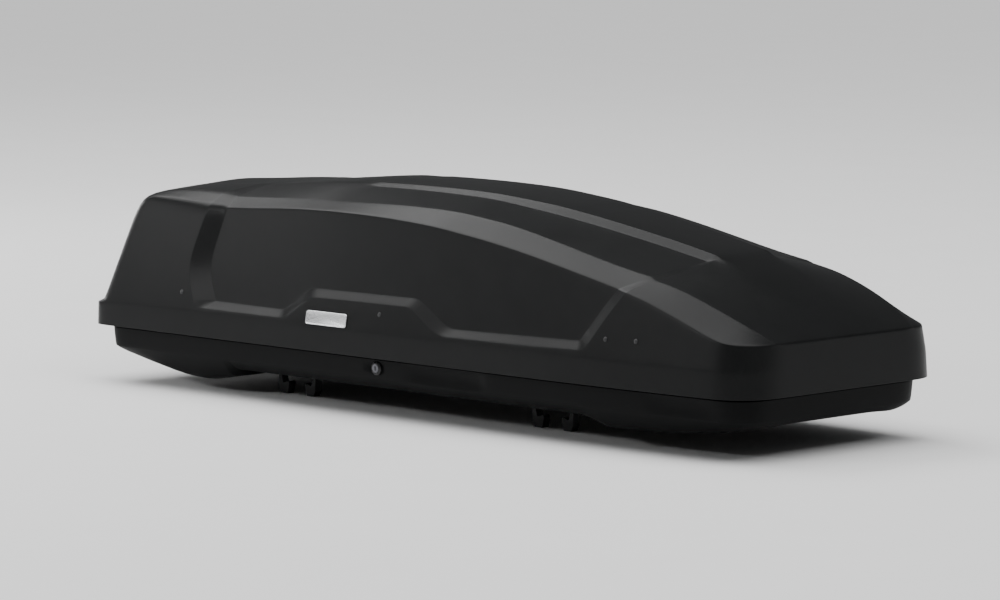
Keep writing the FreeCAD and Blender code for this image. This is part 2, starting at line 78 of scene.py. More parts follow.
# Profiles along the lid, as (x, height above the rim).
CROWN = [(-0.836, 0.300), (-0.805, 0.303), (-0.615, 0.312), (-0.374, 0.333), (-0.280, 0.337),
         (-0.130, 0.339), (0.020, 0.337), (0.090, 0.334), (0.240, 0.321), (0.380, 0.3015),
         (0.520, 0.2775), (0.600, 0.2625), (0.680, 0.245), (0.800, 0.192), (0.900, 0.137),
         (0.950, 0.108)]
SHOULDER_TOP = [(-0.836, 0.299), (-0.805, 0.300), (-0.606, 0.296), (-0.556, 0.292), (-0.451, 0.298),
                (-0.248, 0.302), (-0.020, 0.306), (0.129, 0.300), (0.274, 0.283), (0.416, 0.256),
                (0.555, 0.227), (0.623, 0.2155), (0.705, 0.203), (0.764, 0.186), (0.833, 0.162),
                (0.912, 0.130), (0.950, 0.110)]
SHOULDER_FOOT = [(-0.836, 0.284), (-0.700, 0.279), (-0.549, 0.272), (-0.396, 0.281), (-0.195, 0.285),
                 (0.032, 0.276), (0.252, 0.251), (0.394, 0.228), (0.534, 0.201), (0.596, 0.188),
                 (0.643, 0.181), (0.729, 0.155), (0.807, 0.129), (0.877, 0.106), (0.950, 0.104)]
CROWN_EDGE_Y = [(-0.330, 0.108), (0.100, 0.094), (0.600, 0.076)]
CROWN_STEP = [(-0.330, 0.0), (-0.250, 0.008), (0.100, 0.011), (0.250, 0.015), (0.664, 0.015),
              (0.690, 0.001)]
# How far each zone of the roof stands above the profiles.
PROUD = {"tail": 0.004, "band": 0.004, "body": 0.0, "cap": -0.004, "nose": -0.004}
PROUD_SHARES = [0.8, 0.5, 0.35, 0.25, 0.25]      # how much of it each row inside the shoulder gets
ROOF_INSET = 0.003
PLANE_MIDDLE = 0.52              # share of the rise reached halfway across the top plane
CROWN_MIDDLE = 0.76              # and halfway across the crown
# The end walls and the tail's corner, as (height, x) and (height, radius).
TAIL_WALL = [(0.000, -0.950), (0.050, -0.950), (0.054, -0.929), (0.068, -0.922), (0.154, -0.892),
             (0.222, -0.867), (0.262, -0.852), (0.295, -0.841)]
TAIL_RADIUS = [(0.000, 0.048), (0.050, 0.048), (0.054, 0.044), (0.222, 0.036), (0.285, 0.034)]
TAIL_CAMBER = 0.022              # rise of the tail's top edge from its corner to its middle
NOSE_WALL = [(0.000, 0.950), (0.104, 0.945)]
NOSE_RADIUS = 0.088

# Depth of the recessed side panels, as (x, depth).
RECESS = [(-0.600, 0.017), (-0.200, 0.012), (0.600, 0.010)]
EDGE_RADIUS = 0.0032             # round on a line of full weight
# The panels run from the tail band's two edges to the nose cap's two edges, as (height, x).
BAND_REAR = [(0.062, -0.603), (0.132, -0.648), (0.142, -0.646), (0.273, -0.606)]
BAND_FRONT = [(0.074, -0.553), (0.136, -0.598), (0.148, -0.596), (0.267, -0.563)]
CAP_REAR = [(0.083, 0.517), (0.119, 0.545), (0.163, 0.576), (0.190, 0.597)]
CAP_FRONT = [(0.067, 0.539), (0.104, 0.567), (0.148, 0.597), (0.187, 0.628)]
# Lower bevel of the side panel: outer and inner edge, as (x, height).
BEVEL_OUTER = [(-0.600, 0.061), (-0.318, 0.060), (-0.256, 0.109), (0.048, 0.111), (0.130, 0.060),
               (0.402, 0.062), (0.540, 0.066)]
BEVEL_INNER = [(-0.600, 0.077), (-0.328, 0.076), (-0.270, 0.127), (0.062, 0.129), (0.147, 0.076),
               (0.398, 0.081), (0.520, 0.083)]
# Columns across the panel, as (x up to the bevel's outer edge, x above it).
BODY_COLUMNS = [(-0.500, -0.480), (-0.410, -0.405), (-0.345, -0.352), (-0.318, -0.328),
                (-0.256, -0.270), (-0.228, -0.240), (-0.160, -0.160), (-0.080, -0.080),
                (-0.010, 0.000), (0.030, 0.042), (0.048, 0.062), (0.130, 0.147), (0.160, 0.178),
                (0.240, 0.245), (0.320, 0.318), (0.400, 0.390), (0.470, 0.455)]
# Roof rows from the shoulder's top inwards: fractions of the arc end's distance at the two ends.
ROW_FRACTIONS = [0.80, 0.57, 0.49, 0.25, 0.0]
ARC_STEPS = 4
# How much of the edge radius each line gets.
LID_LINE = 0.6
SHOULDER_LINE = 0.8
FULL_LINE = 1.0
TAIL_LIP_LINE = 0.4
BASE_LINE = 0.7


# ---------------------------------------------------------------- curves
def straight(points, x):
    """Value at x on straight runs through the points, level beyond the ends."""
    if x <= points[0][0]:
        return points[0][1]
    for (x0, v0), (x1, v1) in zip(points, points[1:]):
        if x <= x1:
            return v0 + (v1 - v0) * (x - x0) / (x1 - x0)
    return points[-1][1]


def smooth(points, x):
    """Value at x on a smooth curve through the points, level beyond the ends."""
    if x <= points[0][0]:
        return points[0][1]
    if x >= points[-1][0]:
        return points[-1][1]
    last = len(points) - 1
    i = next(k for k in range(1, last + 1) if x <= points[k][0])
    (x0, v0), (x1, v1) = points[i - 1], points[i]
    before, after = points[max(i - 2, 0)], points[min(i + 1, last)]
    run = x1 - x0
    rise0 = (v1 - before[1]) / (x1 - before[0]) * run
    rise1 = (after[1] - v0) / (after[0] - x0) * run
    t = (x - x0) / run
    return (v0 * (2 * t ** 3 - 3 * t ** 2 + 1) + rise0 * (t ** 3 - 2 * t ** 2 + t)
            + v1 * (3 * t ** 2 - 2 * t ** 3) + rise1 * (t ** 3 - t ** 2))


def mix(a, b, t):
    return a + (b - a) * t


def half_width(x):
    """Half the plan's width at x, without the corners."""
    into = max(0.0, x - TAPER_START) / (HALF_LENGTH - TAPER_START)
    return HALF_WIDTH - NOSE_TAPER * into ** TAPER_POWER


def lid_side(x, height):
    """Left side of the lid's outer surface at x and a height above the rim."""
    return half_width(x) - SKIRT_LEAN * min(1.0, height / SKIRT) - PANEL_LEAN * max(0.0, height - SKIRT)


# ---------------------------------------------------------------- mesh helpers
SEAM_MERGE = 1e-5
POINT_MERGE = 1e-6


class Shell:
    """Vertices kept by key, faces by key, and sharp edges with their sharpness."""

    def __init__(self):
        self.at = {}
        self.faces = []
        self.sharp = {}

    def put(self, key, point):
        self.at[key] = Vector(point)

    def face(self, *keys):
        self.faces.append(keys)

    def crease(self, keys, amount):
        """Sharpen the run of edges through these keys."""
        for a, b in zip(keys, keys[1:]):
            self.sharp[frozenset((a, b))] = amount

    def build(self, name):
        """The object, with its right half mirrored from the left."""
        keys = list(self.at)
        index = {k: i for i, k in enumerate(keys)}
        bm = bmesh.new()
        verts = [bm.verts.new(self.at[k]) for k in keys]
        for f in self.faces:
            bm.faces.new([verts[index[k]] for k in f])
        layer = bm.edges.layers.float.new("bevel_weight_edge")
        bm.verts.index_update()
        for e in bm.edges:
            pair = frozenset(keys[v.index] for v in e.verts)
            e[layer] = self.sharp.get(pair, 0.0)
        half = list(bm.verts) + list(bm.edges) + list(bm.faces)
        bmesh.ops.mirror(bm, geom=half, axis="Y", merge_dist=SEAM_MERGE)
        bmesh.ops.remove_doubles(bm, verts=bm.verts, dist=POINT_MERGE)
        bmesh.ops.recalc_face_normals(bm, faces=bm.faces)
        return as_object(name, bm)


def as_object(name, bm):
    mesh = bpy.data.meshes.new(name)
    bm.to_mesh(mesh)
    bm.free()
    for poly in mesh.polygons:
        poly.use_smooth = True
    obj = bpy.data.objects.new(name, mesh)
    bpy.context.scene.collection.objects.link(obj)
    return obj


def subdivide(obj, levels, radius):
    """Round the weighted edges by up to the radius, then smooth the rest."""
    b = obj.modifiers.new("edges", "BEVEL")
    b.limit_method = "WEIGHT"
    b.width = radius
    b.segments = 2
    m = obj.modifiers.new("subdivide", "SUBSURF")
    m.levels = levels
    m.render_levels = levels
    m.boundary_smooth = "PRESERVE_CORNERS"


def thicken(obj, thickness):
    m = obj.modifiers.new("thickness", "SOLIDIFY")
    m.thickness = thickness
    m.offset = -1.0
    m.use_even_offset = True


def face_outwards(obj, centre):
    """Turn every normal away from the centre, judged on the whole shell."""
    votes = 0
    for poly in obj.data.polygons:
        votes += 1 if (poly.center - centre).dot(poly.normal) > 0 else -1
    if votes < 0:
        obj.data.flip_normals()


# ---------------------------------------------------------------- lid
# Heights of the lowest levels above the rim; the higher ones follow the bevel and the shoulder.
LOW_LEVELS = [0.0, 0.004, 0.026, 0.048, 0.0545]
TAIL_LIP_LEVEL = 3                     # the low level at the top of the tail's lip
PANEL_FRACTIONS = [0.33, 0.66, 1.0]
LEVELS = len(LOW_LEVELS) + 2 + len(PANEL_FRACTIONS)
BEVEL_LEVEL = len(LOW_LEVELS)          # the bevel's outer edge; its inner edge is the next level
TOP_LEVEL = LEVELS - 1
TAIL_COLUMNS = 4                       # spaces between the rear corner and the tail band
NOSE_COLUMNS = 5
TAIL_READ_X = -0.83                    # where the height of a level is read for the tail's wall
NOSE_READ_X = 0.90
BAND_READ_X = (-0.61, -0.56)           # and for the band's and the cap's two edges
CAP_READ_X = (0.58, 0.60)
BEVEL_END_X = (-0.576, 0.520)          # ends of the lower bevel's outer edge
CROWN_LINE_START = -0.28               # behind it, the crown runs smoothly into the roof
# Where the band and the cap cross the roof: x on each row from the shoulder's foot to the centre.
ROOF_BAND_REAR = [-0.606, -0.606, -0.606, -0.606, -0.606, -0.604, -0.602, -0.602, -0.600, -0.600]
ROOF_BAND_FRONT = [-0.563, -0.565, -0.568, -0.571, -0.573, -0.574, -0.574, -0.574, -0.574, -0.574]
ROOF_CAP_REAR = [0.599, 0.610, 0.622, 0.634, 0.645, 0.656, 0.664, 0.672, 0.672, 0.672]
ROOF_CAP_FRONT = [0.628, 0.632, 0.640, 0.649, 0.658, 0.669, 0.677, 0.690, 0.698, 0.700]
LAST_ROW = ARC_STEPS + len(ROW_FRACTIONS)
CROWN_ROWS = (ARC_STEPS + 2, ARC_STEPS + 3)      # foot and edge of the crown's bevel


def level_height(level, x, outer_x, inner_x):
    """Height of a side level; the bevel's two edges are read at their own x."""
    if level < BEVEL_LEVEL:
        return LOW_LEVELS[level]
    if level == BEVEL_LEVEL:
        return straight(BEVEL_OUTER, outer_x)
    low = straight(BEVEL_INNER, inner_x)
    if level == BEVEL_LEVEL + 1:
        return low
    return mix(low, smooth(SHOULDER_FOOT, x), PANEL_FRACTIONS[level - BEVEL_LEVEL - 2])


def across_panel(x):
    """How far across the panel a column lies, from 0 at the band to 1 at the cap."""
    rear, front = BAND_FRONT[0][1], CAP_REAR[0][1]
    return (x - rear) / (front - rear)


def side_keys(level, rear_x, front_x):
    """(kind, x, height) of every column on the side between the two corner arcs."""
    columns = []

    def guess(x):
        return level_height(level, x, x, x)

    band_rear = straight(BAND_REAR, guess(BAND_READ_X[0]))
    band_front = straight(BAND_FRONT, guess(BAND_READ_X[1]))
    cap_rear = straight(CAP_REAR, guess(CAP_READ_X[0]))
    cap_front = straight(CAP_FRONT, guess(CAP_READ_X[1]))
    if level <= BEVEL_LEVEL:
        band_front, cap_rear = BEVEL_END_X
    for i in range(TAIL_COLUMNS):
        x = mix(rear_x, band_rear, i / TAIL_COLUMNS)
        columns.append(("tail", x, guess(x)))
    columns.append(("band", band_rear, guess(band_rear)))
    columns.append(("body", band_front, guess(band_front)))
    for outer_x, inner_x in BODY_COLUMNS:
        x = outer_x if level <= BEVEL_LEVEL else mix(band_front, cap_rear, across_panel(inner_x))
        columns.append(("body", x, level_height(level, x, outer_x, inner_x)))
    columns.append(("body", cap_rear, guess(cap_rear)))
    columns.append(("cap", cap_front, guess(cap_front)))
    for i in range(1, NOSE_COLUMNS + 1):
        x = mix(cap_front, front_x, i / NOSE_COLUMNS)
        columns.append(("nose", x, guess(x)))
    return columns


def lid_ring(level):
    """(kind, point) of every column of one ring, from the tail's centre to the nose's centre."""
    tail_height = level_height(level, TAIL_READ_X, TAIL_READ_X, TAIL_READ_X)
    nose_height = level_height(level, NOSE_READ_X, NOSE_READ_X, NOSE_READ_X)
    tail_x = straight(TAIL_WALL, tail_height)
    tail_r = straight(TAIL_RADIUS, tail_height)
    nose_x = straight(NOSE_WALL, nose_height)
    ring = []
    rear_x = tail_x + tail_r
    arc_y = lid_side(rear_x, tail_height) - tail_r
    for part in reversed(ROW_FRACTIONS):
        lift = TAIL_CAMBER * (1 - part) if level == TOP_LEVEL else 0.0
        ring.append(("tail", Vector((tail_x, arc_y * part, tail_height + lift))))
    for i in range(ARC_STEPS, 0, -1):
        a = math.pi / 2 * i / ARC_STEPS
        x = rear_x - tail_r * math.sin(a)
        ring.append(("tail", Vector((x, arc_y + tail_r * math.cos(a), tail_height))))
    front_x = nose_x - NOSE_RADIUS
    for kind, x, height in side_keys(level, rear_x, front_x):
        y = lid_side(x, height)
        if kind == "body" and level > BEVEL_LEVEL:
            y -= straight(RECESS, x)
        ring.append((kind, Vector((x, y, height))))
    arc_y = lid_side(front_x, nose_height) - NOSE_RADIUS
    for i in range(1, ARC_STEPS + 1):
        a = math.pi / 2 * i / ARC_STEPS
        x = front_x + NOSE_RADIUS * math.sin(a)
        ring.append(("nose", Vector((x, arc_y + NOSE_RADIUS * math.cos(a), nose_height))))
    for part in ROW_FRACTIONS:
        ring.append(("nose", Vector((nose_x, arc_y * part, nose_height))))
    return ring


def roof_point(kind, x, row):
    """Point on a roof row: rows 0 to ARC_STEPS climb the shoulder, the rest run in to the centre."""
    scale = half_width(x) / HALF_WIDTH
    foot_height = smooth(SHOULDER_FOOT, x)
    foot_y = lid_side(x, foot_height)
    top_height = smooth(SHOULDER_TOP, x)
    top_y = foot_y - SHOULDER_WIDE * scale
    crown = smooth(CROWN, x)
    edge = crown - CROWN_EDGE_DROP
    crown_foot = edge - straight(CROWN_STEP, x)
    edge_y = straight(CROWN_EDGE_Y, x) * scale
    crown_foot_y = edge_y + CROWN_BEVEL
    proud = PROUD[kind]
    if row <= ARC_STEPS:
        t = row / ARC_STEPS
        inset = mix(straight(RECESS, x), ROOF_INSET, t) if kind == "body" else 0.0
        return Vector((x, mix(foot_y, top_y, t) - inset, mix(foot_height, top_height, t) + proud * t))
    places = [(mix(top_y, crown_foot_y, 0.5), mix(top_height, crown_foot, PLANE_MIDDLE)),
              (crown_foot_y, crown_foot),
              (edge_y, edge),
              (edge_y / 2, mix(edge, crown, CROWN_MIDDLE)),
              (0.0, crown)]
    inner_row = row - ARC_STEPS - 1
    y, height = places[inner_row]
    return Vector((x, y, height + PROUD_SHARES[inner_row] * proud))


def roof_row(row, rear, front, kinds):
    """Points of one roof row, drawn in so that it ends on the ring at both ends."""
    band_rear, band_front = ROOF_BAND_REAR[row], ROOF_BAND_FRONT[row]
    cap_rear, cap_front = ROOF_CAP_REAR[row], ROOF_CAP_FRONT[row]
    xs = [mix(rear.x, band_rear, i / TAIL_COLUMNS) for i in range(TAIL_COLUMNS)]
    xs += [band_rear, band_front]
    xs += [mix(band_front, cap_rear, across_panel(inner_x)) for _, inner_x in BODY_COLUMNS]
    xs += [cap_rear, cap_front]
    xs += [mix(cap_front, front.x, i / NOSE_COLUMNS) for i in range(1, NOSE_COLUMNS + 1)]
    rear_gap = rear - roof_point("tail", rear.x, row)
    front_gap = front - roof_point("nose", front.x, row)
    points = []
    for i, x in enumerate(xs):
        p = roof_point(kinds[i], x, row)
        pull = max(0.0, (band_rear - x) / (band_rear - rear.x)) ** 3
        push = max(0.0, (x - cap_front) / (front.x - cap_front)) ** 3
        points.append(p + rear_gap * pull + front_gap * push)
    return points


def make_lid():
    """Side rings, then the roof grid inside the top ring, and the weights of the lines."""
    shell = Shell()
    rings = [lid_ring(level) for level in range(LEVELS)]
    width = len(rings[0])
    for level, ring in enumerate(rings):
        for i, (kind, p) in enumerate(ring):
            shell.put((level, i), (p.x, p.y, p.z + RIM))
    for level in range(LEVELS - 1):
        for i in range(width - 1):
            shell.face((level, i), (level, i + 1), (level + 1, i + 1), (level + 1, i))
    kinds = [kind for kind, _ in rings[TOP_LEVEL]]
    first = len(ROW_FRACTIONS) + ARC_STEPS         # ring index where the side begins
    last = width - 1 - len(ROW_FRACTIONS) - ARC_STEPS
    side_kinds = kinds[first:last + 1]

    def key(row, i):
        """Roof grid: row 0 and both ends lie on the top ring."""
        if row == 0:
            return (TOP_LEVEL, i)
        if i == first:
            return (TOP_LEVEL, first - row)
        if i == last:
            return (TOP_LEVEL, last + row)
        return ("roof", row, i)

    top = [p for _, p in rings[TOP_LEVEL]]
    for row in range(1, LAST_ROW + 1):
        points = roof_row(row, top[first - row], top[last + row], side_kinds)
        for i in range(first + 1, last):
            p = points[i - first]
            shell.put(("roof", row, i), (p.x, p.y, p.z + RIM))
    for row in range(LAST_ROW):
        for i in range(first, last):
            shell.face(key(row, i), key(row, i + 1), key(row + 1, i + 1), key(row + 1, i))

    band = kinds.index("band")
    cap = kinds.index("cap")
    for level in (BEVEL_LEVEL, BEVEL_LEVEL + 1):
        shell.crease([(level, i) for i in range(band, cap + 1)], LID_LINE)
    for i in (band, band + 1, cap - 1, cap):
        rows = LAST_ROW if i <= band + 1 else CROWN_ROWS[1]
        shell.crease([(level, i) for level in range(BEVEL_LEVEL, LEVELS)], LID_LINE)
        shell.crease([key(row, i) for row in range(rows + 1)], LID_LINE)
    shell.crease([(TOP_LEVEL, i) for i in range(band + 1, last + 1)], SHOULDER_LINE)
    shell.crease([(TOP_LEVEL, i) for i in range(last, width)], FULL_LINE)
    shell.crease([key(ARC_STEPS, i) for i in range(band + 1, last + 1)], FULL_LINE)
    start = next(i for i in range(first, last) if top[i].x > CROWN_LINE_START)
    for row in CROWN_ROWS:
        shell.crease([key(row, i) for i in range(start, cap + 1)], LID_LINE)
    shell.crease([(TAIL_LIP_LEVEL, i) for i in range(first)], TAIL_LIP_LINE)
    lid = shell.build("lid_outer")
    face_outwards(lid, Vector((0.0, 0.0, RIM)))
    subdivide(lid, 2, EDGE_RADIUS)
    thicken(lid, SKIN)
    return lid


# ---------------------------------------------------------------- base
BASE_INSET = 0.028
WALL_TOP = RIM - 0.006
BASE_END = HALF_LENGTH - BASE_INSET
BASE_TAIL_RADIUS = 0.037
BASE_NOSE_RADIUS = 0.062
# Height of the underside from the rim, as (x, height).
UNDERSIDE = [(-0.922, -0.058), (-0.810, -0.080), (-0.703, -0.098), (-0.623, -0.101), (-0.548, -0.087),
             (-0.530, -0.072), (0.470, -0.072), (0.500, -0.075), (0.547, -0.090), (0.704, -0.087),
             (0.827, -0.075), (0.922, -0.060)]
BILGE_TOP = 0.005
BILGE_LEVEL = 5
# Side levels from the top: (height, inset at the sides, inset at the ends). From BILGE_LEVEL on, the
# height is above the underside.
BASE_LEVELS = [(WALL_TOP, 0.0, 0.0), (0.1165, 0.0, 0.0), (0.1105, 0.0004, 0.0004),
               (0.0915, 0.0015, 0.0015), (0.0775, 0.003, 0.003), (BILGE_TOP, 0.024, 0.006),
               (0.0, 0.046, 0.014)]
CLAMPS = (0.310, -0.450)               # x of the front and rear clamps
SLOT_HALF = 0.078
SLOT_ROW = 5                           # the strip of floor that the clamp slots are cut from
LOCK_X = -0.068
LOCK_HOLE = 0.0095
LOCK_LEVEL = 2                         # the wall is open for the lock between this level and the next
# Rows along the underside, from the slots' outer side in, and columns from the tail to the nose.
FLOOR_ROWS = [0.164, 0.136, 0.090, 0.045, 0.0]
BASE_COLUMNS = [-0.850, -0.810, -0.756, -0.703, -0.663, -0.623, -0.585, -0.548, -0.528, -0.520,
                -0.450, -0.380, -0.371, -0.300, -0.225, -0.150, LOCK_X - LOCK_HOLE,
                LOCK_X + LOCK_HOLE, -0.030, 0.030, 0.055, 0.145, 0.232, 0.240, 0.270, 0.310, 0.380,
                0.389, 0.430, 0.470, 0.500, 0.547, 0.600, 0.650, 0.680, 0.704, 0.760, 0.800, 0.827]
# Grip recesses in the side wall, as (start, end, depth).
GRIPS = [(0.050, 0.235, 0.007), (0.700, 0.845, 0.004)]
RIB_RISE = 0.004
END_ROW_SHARE = 0.8                    # how far out the rows reach on the base's end walls
FLOOR_EDGE = FLOOR_ROWS[0] + 0.030     # where the rows from the bilge end
RIB_ROWS = (ARC_STEPS + 3, ARC_STEPS + 5)
GRIP_LEVELS = (2, 3)
RAMPS = (-0.548, -0.528, 0.470, 0.547) # lines across the underside where its depth changes


def grip_depth(x):
    """Depth of the grip recess at x, if there is one."""
    for start, end, depth in GRIPS:
        if start < x < end:
            return depth
    return 0.0


def base_ring(level):
    """Points of one ring of the base, from the tail's centre to the nose's centre."""
    height, inset, end_inset = BASE_LEVELS[level]

    def at(x):
        return RIM + straight(UNDERSIDE, x) + height if level >= BILGE_LEVEL else height

    ring = []
    tail_x = -BASE_END + end_inset
    rear_x = tail_x + BASE_TAIL_RADIUS
    arc_y = half_width(rear_x) - BASE_INSET - inset - BASE_TAIL_RADIUS
    for y in reversed(FLOOR_ROWS):
        ring.append(Vector((tail_x, y / FLOOR_ROWS[0] * arc_y * END_ROW_SHARE, at(tail_x))))
    for i in range(ARC_STEPS, 0, -1):
        a = math.pi / 2 * i / ARC_STEPS
        x = rear_x - BASE_TAIL_RADIUS * math.sin(a)
        ring.append(Vector((x, arc_y + BASE_TAIL_RADIUS * math.cos(a), at(x))))
    nose_x = BASE_END - end_inset
    front_x = nose_x - BASE_NOSE_RADIUS
    for x in [rear_x] + BASE_COLUMNS + [front_x]:
        y = half_width(x) - BASE_INSET - inset
        if level in GRIP_LEVELS:
            y -= grip_depth(x)
        ring.append(Vector((x, y, at(x))))
    arc_y = half_width(front_x) - BASE_INSET - inset - BASE_NOSE_RADIUS
    for i in range(1, ARC_STEPS + 1):
        a = math.pi / 2 * i / ARC_STEPS
        x = front_x + BASE_NOSE_RADIUS * math.sin(a)
        ring.append(Vector((x, arc_y + BASE_NOSE_RADIUS * math.cos(a), at(x))))
    for y in FLOOR_ROWS:
        ring.append(Vector((nose_x, y / FLOOR_ROWS[0] * arc_y * END_ROW_SHARE, at(BASE_END))))
    return ring


def floor_point(x, row, edge_y):
    """Point of the underside: rows run inwards from the bilge, two of them raised as shallow ribs."""
    if row <= ARC_STEPS:
        y = mix(edge_y, FLOOR_EDGE, row / ARC_STEPS)
    else:
        y = FLOOR_ROWS[row - ARC_STEPS - 1]
    rib = RIB_RISE if row in RIB_ROWS else 0.0
    return Vector((x, y, RIM + straight(UNDERSIDE, x) + rib))


def make_base():
    """Side rings, then the underside inside the bottom ring, open at the lock and the clamps' slots."""
    shell = Shell()
    rings = [base_ring(level) for level in range(len(BASE_LEVELS))]
    width = len(rings[0])
    bottom = len(BASE_LEVELS) - 1
    for level, ring in enumerate(rings):
        for i, p in enumerate(ring):
            shell.put((level, i), p)
    first = len(FLOOR_ROWS) + ARC_STEPS
    last = width - 1 - len(FLOOR_ROWS) - ARC_STEPS
    lock_column = first + 1 + BASE_COLUMNS.index(LOCK_X - LOCK_HOLE)
    for level in range(bottom):
        for i in range(width - 1):
            if level == LOCK_LEVEL and i == lock_column:
                continue
            shell.face((level, i), (level, i + 1), (level + 1, i + 1), (level + 1, i))

    def key(row, i):
        if row == 0:
            return (bottom, i)
        if i == first:
            return (bottom, first - row)
        if i == last:
            return (bottom, last + row)
        return ("floor", row, i)

    rows = ARC_STEPS + len(FLOOR_ROWS)
    edge = rings[bottom]
    for row in range(1, rows + 1):
        for i in range(first + 1, last):
            shell.put(("floor", row, i), floor_point(edge[i].x, row, edge[i].y))
    for row in range(rows):
        for i in range(first, last):
            x = (edge[i].x + edge[i + 1].x) / 2
            in_slot = row == SLOT_ROW and any(abs(x - c) < SLOT_HALF for c in CLAMPS)
            if not in_slot:
                shell.face(key(row, i), key(row, i + 1), key(row + 1, i + 1), key(row + 1, i))
    shell.crease([(BILGE_LEVEL - 1, i) for i in range(width)], BASE_LINE)
    shell.crease([(bottom, i) for i in range(width)], BASE_LINE)
    for x in RAMPS:
        i = first + 1 + BASE_COLUMNS.index(x)
        shell.crease([(level, i) for level in range(BILGE_LEVEL - 1, bottom + 1)], BASE_LINE)
        shell.crease([key(row, i) for row in range(rows + 1)], BASE_LINE)
    base = shell.build("base_outer")
    face_outwards(base, Vector((0.0, 0.0, RIM)))
    subdivide(base, 1, EDGE_RADIUS)
    thicken(base, SKIN)
    return base


# ---------------------------------------------------------------- small pieces
LOCK_Z = 0.101
BEZEL_BACK_Y = 0.2873
# Bezel section, as (radius, distance out from the wall).
BEZEL_SECTION = [(0.0091, 0.0), (0.0091, 0.0030), (0.0096, 0.0038), (0.0106, 0.0042), (0.0117, 0.0038),
                 (0.0122, 0.0026), (0.0134, 0.0021), (0.0143, 0.0013), (0.0145, 0.0)]
BEZEL_STEPS = 48
BADGE_X = -0.194
BADGE_HEIGHT = 0.069
BADGE_LONG = 0.122
BADGE_HIGH = 0.028
BADGE_CORNER = 0.006
CORNER_STEPS = 6
# Badge section from the rim inwards, as (inset, distance out from the lid).
BADGE_SECTION = [(0.0, 0.0003), (0.0, 0.0018), (0.0005, 0.0023), (0.0016, 0.0023), (0.0021, 0.0018)]
# Lifter arms that the springs sit beside, as (rear x, front x, side).
SPRINGS = [(-0.830, 0.655, 1), (-0.770, 0.715, -1)]
SPRING_Y = 0.287
SPRING_Z = 0.137
# Ends of the coil along x from the arm, over the wire.
SPRING_START = -0.0262
SPRING_END = -0.0078
SPRING_RADIUS = 0.0068
WIRE_RADIUS = 0.0012
SPRING_TURNS = 6.5
TURN_STEPS = 20
WIRE_STEPS = 8
KNOB_Y = 0.150
KNOB_FOOT = 0.0858
KNOB_RADIUS = 0.0327
KNOB_RIDGES = 20
RIDGE_STEPS = 6
RIDGE_DEPTH = 0.0014
RIDGED_SHARE = 0.9               # the section has ridges outside this share of the radius
KNOB_TIP_RADIUS = 0.0004
KNOB_SHARP_ANGLE = 50
# Knob disc section, as (share of the radius, height over the foot).
KNOB_SECTION = [(0.93, 0.0), (1.0, 0.0014), (1.0, 0.0086), (0.95, 0.0106), (0.80, 0.0112),
                (0.46, 0.0104), (0.42, 0.0112), (0.40, 0.0240), (0.35, 0.0258), (0.0, 0.0262)]
GRIP_HALF_LONG = 0.0296
GRIP_HALF_WIDE = 0.0078
GRIP_RISE = 0.0255
GRIP_STEPS = 32
GRIP_END_POWER = 0.35            # a low power squares the bar's outline
GRIP_SIDE_POWER = 0.6
# Grip bar section, as (share of its size, height over the foot).
GRIP_SECTION = [(1.0, 0.0105), (0.97, 0.0200), (0.92, GRIP_RISE - 0.0012), (0.86, GRIP_RISE)]


def loops_object(name, loops, capped):
    """Skin a list of closed loops of equal length: with a cap on each end, or joined end to end."""
    bm = bmesh.new()
    rows = [[bm.verts.new(p) for p in loop] for loop in loops]
    count = len(rows[0])
    ends = rows[1:] if capped else rows[1:] + rows[:1]
    for a, b in zip(rows, ends):
        for i in range(count):
            j = (i + 1) % count
            bm.faces.new((a[i], a[j], b[j], b[i]))
    if capped:
        bm.faces.new(rows[0])
        bm.faces.new(rows[-1])
    bmesh.ops.recalc_face_normals(bm, faces=bm.faces)
    return as_object(name, bm)


def join_objects(name, objects):
    """One object from several, by copying their meshes into one."""
    bm = bmesh.new()
    for obj in objects:
        bm.from_mesh(obj.data)
        bpy.data.objects.remove(obj)
    return as_object(name, bm)


def soften(obj, width, angle):
    """Small round on every edge sharper than the angle."""
    m = obj.modifiers.new("soften", "BEVEL")
    m.limit_method = "ANGLE"
    m.angle_limit = math.radians(angle)
    m.width = width
    m.segments = 2
    m.use_clamp_overlap = True


def make_bezel(side):
    """Lock bezel: a stepped ring turned about the barrel's axis."""
    loops = []
    for radius, out in BEZEL_SECTION:
        loop = []
        for i in range(BEZEL_STEPS):
            a = math.tau * i / BEZEL_STEPS
            y = side * (BEZEL_BACK_Y + out)
            loop.append(Vector((LOCK_X + radius * math.cos(a), y, LOCK_Z + radius * math.sin(a))))
        loops.append(loop)
    return loops_object("lock_bezel_ring", loops, False)


def badge_point(side, along, up, out):
    """Point on the badge, which leans with the lid's side."""
    y = lid_side(BADGE_X + along, BADGE_HEIGHT + up) + out
    return Vector((BADGE_X + along, side * y, RIM + BADGE_HEIGHT + up))


def make_badge(side):
    """Plain plate with rounded corners and a raised rim, following the lid's side."""
    loops = []
    for inset, out in BADGE_SECTION:
        radius = BADGE_CORNER - inset
        loop = []
        for quarter in range(4):
            cx = (BADGE_LONG / 2 - BADGE_CORNER) * (1 if quarter in (0, 3) else -1)
            cz = (BADGE_HIGH / 2 - BADGE_CORNER) * (1 if quarter < 2 else -1)
            for i in range(CORNER_STEPS + 1):
                a = math.pi / 2 * (quarter + i / CORNER_STEPS)
                along, up = cx + radius * math.cos(a), cz + radius * math.sin(a)
                loop.append(badge_point(side, along, up, out))
        loops.append(loop)
    return loops_object("badge_plate", loops, True)


